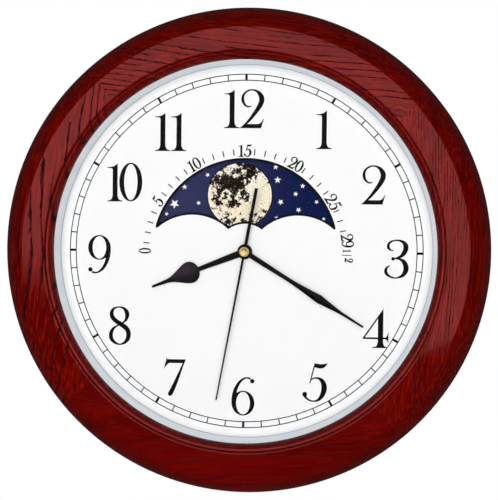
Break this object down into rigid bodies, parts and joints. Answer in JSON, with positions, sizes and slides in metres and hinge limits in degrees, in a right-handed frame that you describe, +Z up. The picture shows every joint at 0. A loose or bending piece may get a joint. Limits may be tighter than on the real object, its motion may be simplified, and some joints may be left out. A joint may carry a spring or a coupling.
{
  "type": "moon phase wall clock",
  "caption": "Round wooden wall clock with a domed glossy ring, flat glass, white dial, arched moon-phase window, black hands and a battery quartz movement with its wheel trains.",
  "frame": {"origin": "the nail's seat: top of the keyhole slot in the hanger plate, on the wall plane", "axes": "+X to the right as the viewer sees the dial, +Y into the wall, +Z up; the dial faces -Y"},
  "size_m": [0.3344, 0.05, 0.3344],
  "materials": {
    "lacquered_wood": "mahogany-red high-gloss lacquer over open-pored wood",
    "glass": "clear float glass, ground edge",
    "silver_paint": "moulded ring in pale blue-grey satin paint",
    "dial_white": "smooth white sheet, black print",
    "fibreboard": "pressed hardboard, smooth face, fibrous edge",
    "night_blue": "navy sheet with printed stars and two moons",
    "black_paint": "stamped metal, black satin lacquer",
    "brass": "turned brass, lightly polished",
    "steel": "zinc-plated or bare steel",
    "black_plastic": "moulded black plastic, fine spark texture",
    "white_plastic": "moulded off-white acetal",
    "copper_wire": "enamelled copper winding",
    "circuit_green": "green solder mask",
    "magnet": "sintered magnet, dark grey",
    "cell_wrap": "plain shrink wrap on a steel can"
  },
  "bodies": {
    "clock_body": {"frame_segment_top": "lacquered_wood", "frame_segment_right": "lacquered_wood", "frame_segment_bottom": "lacquered_wood", "frame_segment_left": "lacquered_wood", "hanger_plate": "steel", "hanger_screw_1": "steel", "hanger_screw_2": "steel", "glass": "glass", "bezel_ring": "silver_paint", "dial": "dial_white", "dial_spacer_ring": "fibreboard", "back_board": "fibreboard", "board_screw_1": "steel", "board_screw_2": "steel", "board_screw_3": "steel", "board_screw_4": "steel", "mounting_washer": "brass", "mounting_nut": "brass", "movement_case": "black_plastic", "movement_front_plate": "black_plastic", "bridge_plate": "white_plastic", "stator": "steel", "coil_core": "steel", "coil_bobbin": "white_plastic", "coil_winding": "copper_wire", "circuit_board": "circuit_green", "quartz_crystal": "steel", "contact_positive": "steel", "contact_negative": "steel"},
    "rotor_body": {"rotor_magnet": "magnet", "rotor_pinion": "white_plastic"},
    "fifth_body": {"fifth_wheel": "white_plastic"},
    "second_body": {"second_wheel": "white_plastic", "second_hand": "black_paint", "second_hand_cap": "brass"},
    "third_body": {"third_wheel": "white_plastic"},
    "centre_body": {"centre_wheel": "white_plastic"},
    "minute_body": {"minute_pipe": "steel", "minute_hand": "black_paint"},
    "minute_wheel_body": {"minute_wheel": "white_plastic", "setting_knob": "white_plastic"},
    "hour_body": {"hour_wheel": "white_plastic", "hour_hand": "black_paint"},
    "moon_1_body": {"moon_wheel_1": "white_plastic"},
    "moon_2_body": {"moon_wheel_2": "white_plastic"},
    "moon_pipe_body": {"moon_pipe_wheel": "white_plastic"},
    "moon_disc_body": {"moon_disc": "night_blue", "moon_disc_hub": "brass"},
    "battery_body": {"battery_cell": "cell_wrap", "battery_nub": "steel"}
  },
  "joints": [
    {"name": "second_hand_spin", "type": "hinge", "parent": "clock_body", "child": "second_body", "pos_m": [0, -0.02, -0.1565], "axis": [0, 1, 0], "continuous": true},
    {"name": "rotor_spin", "type": "hinge", "parent": "clock_body", "child": "rotor_body", "pos_m": [-0.00046, -0.006, -0.14497], "axis": [0, 1, 0], "continuous": true},
    {"name": "fifth_wheel_spin", "type": "hinge", "parent": "clock_body", "child": "fifth_body", "pos_m": [0, -0.007, -0.1502], "axis": [0, 1, 0], "continuous": true},
    {"name": "third_wheel_spin", "type": "hinge", "parent": "clock_body", "child": "third_body", "pos_m": [-0.00798, -0.009, -0.15509], "axis": [0, 1, 0], "continuous": true},
    {"name": "centre_wheel_spin", "type": "hinge", "parent": "clock_body", "child": "centre_body", "pos_m": [0, -0.0108, -0.1565], "axis": [0, 1, 0], "continuous": true},
    {"name": "minute_hand_spin", "type": "hinge", "parent": "clock_body", "child": "minute_body", "pos_m": [0, -0.022, -0.1565], "axis": [0, 1, 0], "continuous": true},
    {"name": "minute_wheel_spin", "type": "hinge", "parent": "clock_body", "child": "minute_wheel_body", "pos_m": [0.0094, -0.0116, -0.15308], "axis": [0, 1, 0], "continuous": true},
    {"name": "hour_hand_spin", "type": "hinge", "parent": "clock_body", "child": "hour_body", "pos_m": [0, -0.022, -0.1565], "axis": [0, 1, 0], "continuous": true},
    {"name": "moon_wheel_1_spin", "type": "hinge", "parent": "clock_body", "child": "moon_1_body", "pos_m": [0.00551, -0.0135, -0.14239], "axis": [0, 1, 0], "continuous": true},
    {"name": "moon_wheel_2_spin", "type": "hinge", "parent": "clock_body", "child": "moon_2_body", "pos_m": [0.00038, -0.0144, -0.14706], "axis": [0, 1, 0], "continuous": true},
    {"name": "moon_pipe_spin", "type": "hinge", "parent": "clock_body", "child": "moon_pipe_body", "pos_m": [0, -0.02, -0.1565], "axis": [0, 1, 0], "continuous": true},
    {"name": "moon_disc_turn", "type": "hinge", "parent": "moon_pipe_body", "child": "moon_disc_body", "pos_m": [0, -0.0248, -0.1565], "axis": [0, 1, 0], "continuous": true},
    {"name": "battery_slide", "type": "slide", "parent": "clock_body", "child": "battery_body", "axis": [0, 1, 0], "range_m": [0, 0.03]}
  ],
  "couplings": [
    {"joint": "fifth_wheel_spin", "follows": "second_hand_spin", "ratio": -5},
    {"joint": "rotor_spin", "follows": "second_hand_spin", "ratio": 30},
    {"joint": "third_wheel_spin", "follows": "second_hand_spin", "ratio": -0.125},
    {"joint": "centre_wheel_spin", "follows": "second_hand_spin", "ratio": 0.016667},
    {"joint": "minute_wheel_spin", "follows": "minute_hand_spin", "ratio": -0.25},
    {"joint": "hour_hand_spin", "follows": "minute_hand_spin", "ratio": 0.083333},
    {"joint": "moon_wheel_1_spin", "follows": "minute_hand_spin", "ratio": 0.025424},
    {"joint": "moon_wheel_2_spin", "follows": "minute_hand_spin", "ratio": -0.0042373},
    {"joint": "moon_pipe_spin", "follows": "minute_hand_spin", "ratio": 0.00070621}
  ]
}
